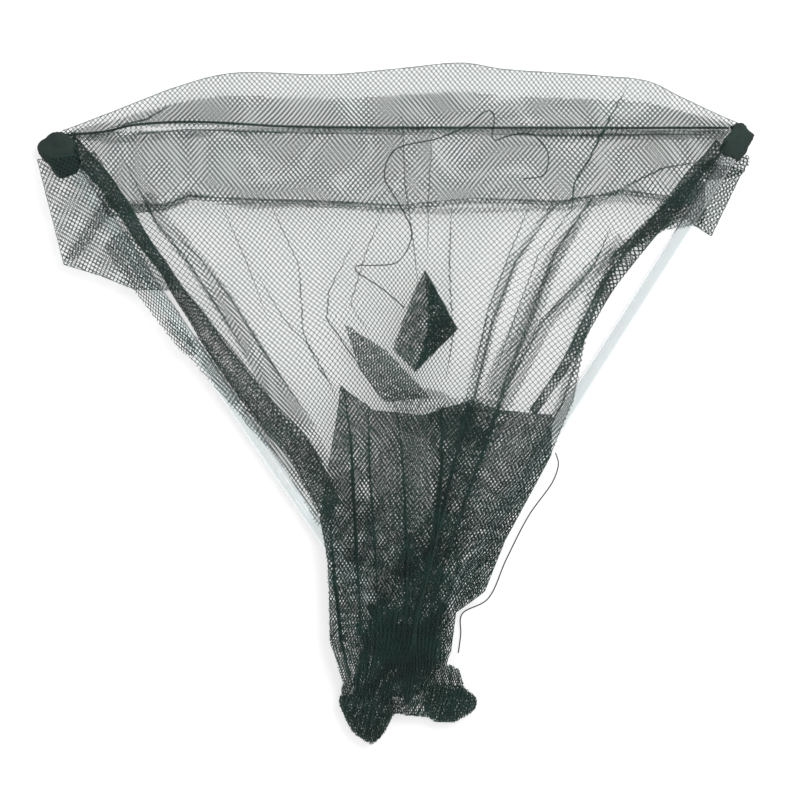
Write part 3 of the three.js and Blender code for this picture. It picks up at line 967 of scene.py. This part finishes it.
# ---------------------------------------------------------------- feet, flaps and wings
def small_net(name, node, outline, levels, body, angle=0.0, rough=1.0, squeeze=1.0, size=22,
              rim=False, slope=(0.0, 0.0), twist=0.5):
    """A small piece of net in several crumpled layers over an outline."""
    centre = outline.mean(0)
    reach = np.linalg.norm(outline - centre, axis=1).max()
    parts, cuts = [], []

    def surface(x, y, number, level):
        """Height of one layer, sloped and crumpled."""
        tilt = slope[0] * (x - centre[0]) + slope[1] * (y - centre[1])
        return level * MM + tilt + wrinkles(x, y, 31 + 7 * number + len(name), size * MM, rough * MM)

    for number, level in enumerate(levels):
        u, v = strands(2.2 * reach / squeeze, 2.2 * reach)
        v = v - 1.1 * reach
        turn = angle + twist * number
        a = u * squeeze
        x = centre[0] + a * math.cos(turn) - v * math.sin(turn)
        y = centre[1] + a * math.sin(turn) + v * math.cos(turn)
        keep = inside(outline, middle_of(x), middle_of(y))
        z = surface(x, y, number, level) + pleat(u, squeeze)
        places = np.stack([x, y, np.maximum(z, 0.5 * MM)], axis=-1)
        parts.append(knit_parts(places, keep))
        cuts.append(cut_size(u, v, keep))
        if rim and number == len(levels) - 1:
            route = rim_route(np.vstack([outline, outline[:1]]))
            route[:, 2] = np.maximum(surface(route[:, 0], route[:, 1], number, level), 0.6 * MM)
            p, f = tube_parts(route, EDGE_RADIUS, 5)
            parts.append((p, f[:, ::-1]))
    p, f = joined(parts)
    obj = mesh_object(name, p, f, NET)
    stands_for(obj, node, body)
    return obj


small_net("bag_foot_left_net", "bag_foot_left", FOOT_LEFT, (3, 8, 13), "hub", 0.3, 1.6, 0.7, 16,
          slope=(0.0, 0.12))
small_net("bag_foot_right_net", "bag_foot_right", FOOT_RIGHT, (3, 6, 10), "hub", 1.2,
          1.6, 0.75, 16,
          slope=(0.0, 0.1))
CENTRE_FLAP = outline_of("centre_flap")
FLAP_TOP = CENTRE_FLAP[np.argmax(CENTRE_FLAP[:, 1])]
FLAP_FOOT = CENTRE_FLAP[np.argmin(CENTRE_FLAP[:, 1])]
FLAP_RIGHT = CENTRE_FLAP[np.argmax(CENTRE_FLAP[:, 0])]
FLAP_CENTRE = (FLAP_TOP + FLAP_FOOT) / 2
DARK_HALF = np.array([
    FLAP_TOP, FLAP_RIGHT, FLAP_FOOT, FLAP_CENTRE + (6 * MM, -12 * MM), FLAP_CENTRE + (7 * MM, 6 * MM),
])
small_net("centre_flap_net", "centre_flap", CENTRE_FLAP, (20.6, 21.4, 22.2), "hub", -0.1,
          0.5, 0.85,
          twist=0.16)
small_net("centre_flap_fold_net", "centre_flap", DARK_HALF, (22.8, 23.4, 24.2), "hub",
          0.5, 0.5, 0.55)
side_flap = small_net("side_flap_net", "side_flap", outline_of("side_flap"), (18.8, 20.0), None,
                      -0.5, 0.7, 0.6, twist=0.2)
gather(side_flap)


def towards_roll(outline, side, reach, distance):
    """The wing's outline with the corners that lie near its arm moved inwards, to the roll."""
    _, aside = arm_frame(side)
    inward = -SIGN[side] * np.array(aside)[:2]
    out = outline.copy()
    off = (outline - np.array(PIVOT[side])[:2]) @ inward
    near = off > -reach
    out[near] += inward * distance
    return out


def arm_frame(side):
    along = Vector((ARM_DIRECTION[side].x, ARM_DIRECTION[side].y, 0)).normalized()
    return along, Vector((along.y, -along.x, 0))


WING_LEFT = towards_roll(outline_of("wing_left"), "left", 12 * MM, 18 * MM)
WING_RIGHT = towards_roll(outline_of("wing_right"), "right", 14 * MM, 16 * MM)
WING_LEFT_TAIL = np.array([
    (-252, 134), (-223, 95), (-198, 62), (-180, 40), (-170, 42), (-184, 76), (-202, 98), (-228, 150),
]) * MM
WING_RIGHT_TAIL = np.array([
    (264, 152), (238, 150), (215, 146), (192, 124), (176, 88), (168, 97), (184, 128), (206, 150),
    (240, 188), (262, 196),
]) * MM
WING_FOLD = np.array([
    (-283, 122), (-272, 122), (-254, 146), (-240, 168), (-246, 180), (-258, 160), (-270, 142),
]) * MM
WING_RIGHT_TOP = np.array([(256, 200), (276, 216), (302, 212), (299, 202), (293, 194), (262, 190)]) * MM
small_net("wing_left_net", "wing_left", WING_LEFT, (16.6, 17.8), "left_arm", 0.25, 0.7,
          1.0, 40, rim=True,
          twist=0.12)
small_net("wing_left_tail_net", "wing_left", rounded(WING_LEFT_TAIL), (17.0,), "left_arm",
          0.4, 0.5, 0.6, 40)
small_net("wing_left_fold_net", "wing_left", rounded(WING_FOLD), (18.4,), "left_arm",
          0.4, 0.5, 0.6, 40)
small_net("wing_right_net", "wing_right", WING_RIGHT, (0.6, 1.0), "right_arm", -0.5, 0.0,
          0.8, 40, rim=True)
small_net("wing_right_tail_net", "wing_right", rounded(WING_RIGHT_TAIL), (0.7, 1.1), "right_arm",
          -0.5, 0.0,
          0.9, 40)
small_net("wing_right_top_net", "wing_right", rounded(WING_RIGHT_TOP), (0.8, 1.2), "right_arm",
          0.3, 0.0,
          0.9, 40)


# ---------------------------------------------------------------- rolls beside the arms
ROLL_LOW = 1.2 * MM
ROLL_RISE = 13


def roll(side, extra, widths, flat_width, passes, seed):
    """Net folded back and forth beside an arm, in a few passes of changing width."""
    spine = spine_of(f"side_roll_{side}", 12)
    spine = np.vstack([np.array(extra) * MM, spine]) if len(extra) else spine
    route = smooth_route(spine, 3 * MM)
    lengths = distances(route)
    total = lengths[-1]
    u, v = strands(flat_width, total)
    v = np.minimum(v, total)
    centre = interpolated(v, lengths, route)
    ahead = interpolated(np.minimum(v + 4 * MM, total), lengths, route)
    behind = interpolated(np.maximum(v - 4 * MM, 0), lengths, route)
    along = ahead - behind
    along /= np.linalg.norm(along, axis=-1)[..., None] + 1e-12
    aside = np.stack([along[..., 1], -along[..., 0]], axis=-1)
    share = v / total
    half = np.interp(share, np.linspace(0, 1, len(widths)), widths) * MM / 2
    place = (u / flat_width + 0.5) * passes
    drift = 0.25 * np.sin(9 * share + seed) + 0.18 * np.sin(23 * share + 2 * seed)
    zig = 2 * np.abs((place + drift * 0.4) % 2 - 1) - 1
    rng = np.random.default_rng(seed)
    weights = rng.uniform(0.72, 1.0, int(passes) + 2)
    reach = weights[np.clip(place.astype(int), 0, len(weights) - 1)]
    swing = np.sin(zig * math.pi / 2) * half * reach
    swing = swing + wrinkles(centre[..., 0], centre[..., 1], seed, 40 * MM, 1.2 * MM)
    z = ROLL_LOW + (u / flat_width + 0.5) * ROLL_RISE * MM * (0.8 + 0.2 * np.sin(14 * share + seed))
    flat = centre[..., :2] + aside * swing[..., None]
    places = np.stack([flat[..., 0], flat[..., 1], z], axis=-1)
    keep = (v[:, 1:] < total - 1e-9) & (v[:, 1:] > v[:, :-1])
    node = f"side_roll_{side}"
    net_piece(f"{node}_net", places, keep, node, f"{side}_arm")


roll("left", [(-283, 226, 9), (-272, 214, 8.5)], (17, 16, 13, 10, 17, 22, 24, 25, 24), 70 * MM, 5, 3)
roll("right", [(276, 222, 9), (268, 212, 8.5)], (12, 14, 15, 15, 14, 12, 10, 9, 8), 50 * MM, 4, 6)


# ---------------------------------------------------------------- arms
def clear_tube(side):
    """A smooth hollow tube in place of the faceted CAD one."""
    low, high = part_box(f"arm_tube_{side}")
    outer = (high.z - low.z) / 2
    inner = outer * 10 / 12
    along, aside = arm_frame(side)
    places = corners_of(f"arm_tube_{side}") - np.array(PIVOT[side])
    reach = places @ np.array(along)
    first, last = reach.min(), reach.max()
    turns, steps = 56, 60
    rows = []
    stations = np.linspace(first, last, steps)
    profile = [(r, outer) for r in stations] + [(r, inner) for r in stations[::-1]]
    for r, radius in profile:
        angle = 2 * math.pi * np.arange(turns) / turns
        ring = (
            np.array(PIVOT[side])[None, :]
            + r * np.array(along)[None, :]
            + radius * np.cos(angle)[:, None] * np.array(aside)[None, :]
            + radius * np.sin(angle)[:, None] * np.array([0, 0, 1.0])[None, :]
        )
        rows.append(ring)
    count = len(rows)
    faces = []
    for i in range(count):
        n = (i + 1) % count
        k = np.arange(turns)
        faces.append(np.stack([n * turns + k, n * turns + (k + 1) % turns,
                               i * turns + (k + 1) % turns, i * turns + k], 1))
    obj = mesh_object(f"clear_arm_tube_{side}", np.vstack(rows), np.vstack(faces), CLEAR)
    stands_for(obj, f"arm_tube_{side}", f"{side}_arm")


for side in SIGN:
    clear_tube(side)


CAP_RADIUS = 6.5 * MM


def corner_patch(side, half_width, half_length, round_off, lean):
    """A cloth patch draped over the tip cap, with its sides hanging down."""
    along, aside = arm_frame(side)
    centre = middle(f"corner_patch_{side}")
    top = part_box(f"corner_patch_{side}")[1].z
    rng = np.random.default_rng(41 if side == "left" else 43)
    rows, columns = 28, 30
    places = []
    fray = rng.uniform(0, 1, (rows + 1, columns + 1))
    for i in range(rows + 1):
        v = 2 * i / rows - 1
        for j in range(columns + 1):
            u = 2 * j / columns - 1
            edge = max(abs(u), abs(v))
            jag = 0.6 * MM * (fray[i][j] - 0.5) * (edge > 0.99)
            over = max(0.0, abs(u) * half_width - CAP_RADIUS)
            drop = min(over * over * 55, 11 * MM) + (max(0.0, abs(v) - 0.75) ** 2) * 24 * MM
            crumple = 0.5 * MM * math.sin(9 * u + 3 * v) * math.sin(5 * v + 1)
            bearing = math.atan2(v, u)
            lump = 1 + 0.06 * math.sin(3 * bearing + lean) + 0.045 * math.sin(5 * bearing + 2 * lean)
            across = u * half_width * lump * math.sqrt(1 - round_off * v * v)
            down = v * half_length * lump * math.sqrt(1 - round_off * u * u)
            p = centre + aside * (across + jag) + along * (down + jag)
            places.append((p.x, p.y, max(top - drop + crumple * abs(u), 0.8 * MM)))
    faces = []
    for i in range(rows):
        for j in range(columns):
            a = i * (columns + 1) + j
            faces.append((a, a + 1, a + columns + 2, a + columns + 1))
    obj = mesh_object(f"corner_patch_{side}_cloth", np.array(places), np.array(faces), CLOTH)
    for modifier, settings in (
        ("SUBSURF", {"levels": 1, "render_levels": 1}),
        ("SOLIDIFY", {"thickness": 0.7 * MM, "offset": -1}),
    ):
        added = obj.modifiers.new(modifier.lower(), modifier)
        for key, value in settings.items():
            setattr(added, key, value)
    stands_for(obj, f"corner_patch_{side}", f"{side}_arm")


corner_patch("left", 15 * MM, 20 * MM, 0.36, 0.7)
corner_patch("right", 10.5 * MM, 15 * MM, 0.22, 2.1)


# ---------------------------------------------------------------- cords
def laid_rope(route, radius, lay, phase):
    """Three strands laid round each other along a route."""
    along = unit(np.gradient(route, axis=0))
    aside = unit(np.cross(along, [0.0, 0.0, 1.0]))
    above = np.cross(aside, along)
    gone = distances(route)
    parts = []
    for k in range(3):
        turn = phase + 2 * math.pi * (gone / lay + k / 3)
        offset = aside * np.cos(turn)[:, None] + above * np.sin(turn)[:, None]
        p, f = tube_parts(route + offset * radius * 0.5, radius * 0.52, 7)
        parts.append((p, f[:, ::-1]))
    return joined(parts)


fine_cord = smooth_route(CORD_POINTS, 0.9 * MM)
for side, sign in SIGN.items():
    half = fine_cord[(fine_cord[:, 0] - HUB.x) * sign >= -0.5 * MM]
    p, f = laid_rope(half, 1.15 * MM, 8 * MM, 0.0)
    rope = mesh_object(f"front_cord_{side}_rope", p, f, TWINE)
    stands_for(rope, "front_cord")
    gather(rope)


def cord_knot(side):
    """A small overhand knot at the cord's end."""
    centre = middle(f"cord_knot_{side}")
    t = np.linspace(0, 2 * math.pi, 90)
    size = 0.95 * MM
    route = np.stack([
        centre.x + size * (np.sin(t) + 2 * np.sin(2 * t)) * 0.62,
        centre.y + size * (np.cos(t) - 2 * np.cos(2 * t)) * 0.62,
        centre.z - size * np.sin(3 * t) * 0.9,
    ], axis=1)
    obj = tube(f"cord_knot_{side}_twine", route, 1.05 * MM, 8, TWINE)
    stands_for(obj, f"cord_knot_{side}", f"{side}_arm")


for side in SIGN:
    cord_knot(side)

LONG_Z = 22.8
LONG_THREAD = np.array([(x, y, LONG_Z) for x, y in (
    (6, 81), (-14, 98), (-34, 111), (-35.8, 113), (-35.8, 115), (-34.4, 116.6), (-31.6, 117),
    (-20, 117), (0, 120), (12, 143), (2, 168), (-11, 192), (-3, 214), (36, 225), (62, 237),
    (73, 246.5), (77.5, 248), (81, 245.6), (82, 240), (80, 227), (81, 224), (84, 223), (92, 226),
    (113, 228), (127, 213), (124, 194), (106, 190),
)]) * MM
SHORT_THREAD = np.array([
    (134, -42, 21), (137, -52, 8), (133, -66, 1.4), (112, -96, 1.4), (93, -133, 1.4), (77, -167, 1.4),
    (55, -180, 1.4), (54, -197, 1.4), (52, -213, 1.4),
]) * MM
THREAD_D = 1 * MM


def loose_thread(name, node, points):
    route = smooth_route(points, 1.2 * MM)
    obj = tube(name, route, THREAD_D / 2, 8, TWINE)
    stands_for(obj, node)
    gather(obj)


loose_thread("loose_thread_long_twine", "loose_thread_long", LONG_THREAD)
loose_thread("loose_thread_short_twine", "loose_thread_short", SHORT_THREAD)

# ---------------------------------------------------------------- CAD nodes that stay
for name, obj in NODES.items():
    if obj.hide_render:
        continue
    if name.startswith(("tip_eyelet", "pivot_rivet", "handle_stud")):
        chosen = STEEL
    else:
        chosen = PLASTIC
    for slot in obj.material_slots:
        slot.material = chosen


# ---------------------------------------------------------------- stage, light and camera
def make_floor():
    mesh = bpy.data.meshes.new("table_top")
    half = 3.0
    corners = [(-half, -half, 0), (half, -half, 0), (half, half, 0), (-half, half, 0)]
    mesh.from_pydata(corners, [], [(0, 1, 2, 3)])
    mesh.materials.append(floor_material())
    floor = bpy.data.objects.new("table_top", mesh)
    bpy.context.scene.collection.objects.link(floor)


def area_light(name, place, aim, size, power, colour=(1, 1, 1)):
    light = bpy.data.lights.new(name, "AREA")
    light.size = size
    light.energy = power
    light.color = colour
    obj = bpy.data.objects.new(name, light)
    obj.location = place
    obj.rotation_euler = (Vector(aim) - Vector(place)).to_track_quat("-Z", "Y").to_euler()
    bpy.context.scene.collection.objects.link(obj)


make_floor()
world = bpy.data.worlds.new("studio")
world.use_nodes = True
world.node_tree.nodes["Background"].inputs["Color"].default_value = (1, 1, 1, 1)
world.node_tree.nodes["Background"].inputs["Strength"].default_value = 0.62
bpy.context.scene.world = world
area_light("key_light", (0.9, 0.9, 2.0), (0, 0, 0), 1.1, 25)
bpy.context.scene.view_settings.view_transform = "Standard"

CAMERA_HEIGHT = 2.4
VIEW_WIDTH = 0.681
camera_data = bpy.data.cameras.new("camera")
camera_data.lens = camera_data.sensor_width * CAMERA_HEIGHT / VIEW_WIDTH
camera = bpy.data.objects.new("camera", camera_data)
camera.location = (2.1 * MM, 3.0 * MM, CAMERA_HEIGHT + 10 * MM)
bpy.context.scene.collection.objects.link(camera)
bpy.context.scene.camera = camera
